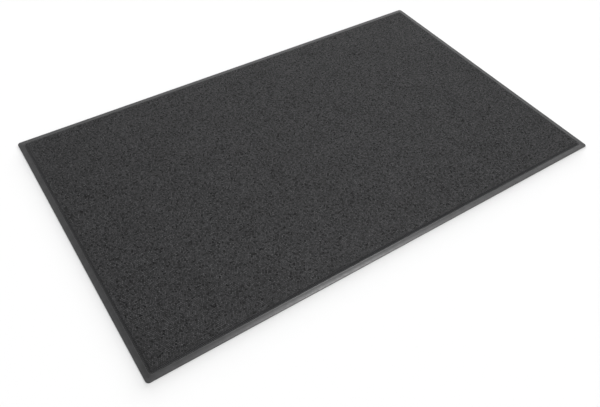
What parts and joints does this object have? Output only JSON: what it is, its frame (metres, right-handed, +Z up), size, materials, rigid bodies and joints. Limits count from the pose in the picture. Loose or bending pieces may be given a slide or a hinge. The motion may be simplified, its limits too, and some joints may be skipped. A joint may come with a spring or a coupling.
{
  "type": "anti fatigue mat",
  "caption": "Rectangular foam standing mat with a pebble-grained wear surface, smooth ramped edges and a non-slip backing.",
  "frame": {"origin": "on the floor, under the middle of the mat", "axes": "+Z up, +X along the long side to the right, front edge towards -Y"},
  "size_m": [1.524, 0.9144, 0.0095],
  "materials": {
    "grip_backing": "matte",
    "closed_cell_foam": "matte",
    "grained_vinyl": "satin",
    "ramp_vinyl": "satin"
  },
  "bodies": {
    "root": {"grip_base": "grip_backing", "cushion_core": "closed_cell_foam", "wear_surface": "grained_vinyl", "edge_front": "ramp_vinyl", "edge_right": "ramp_vinyl", "edge_back": "ramp_vinyl", "edge_left": "ramp_vinyl"}
  },
  "joints": []
}
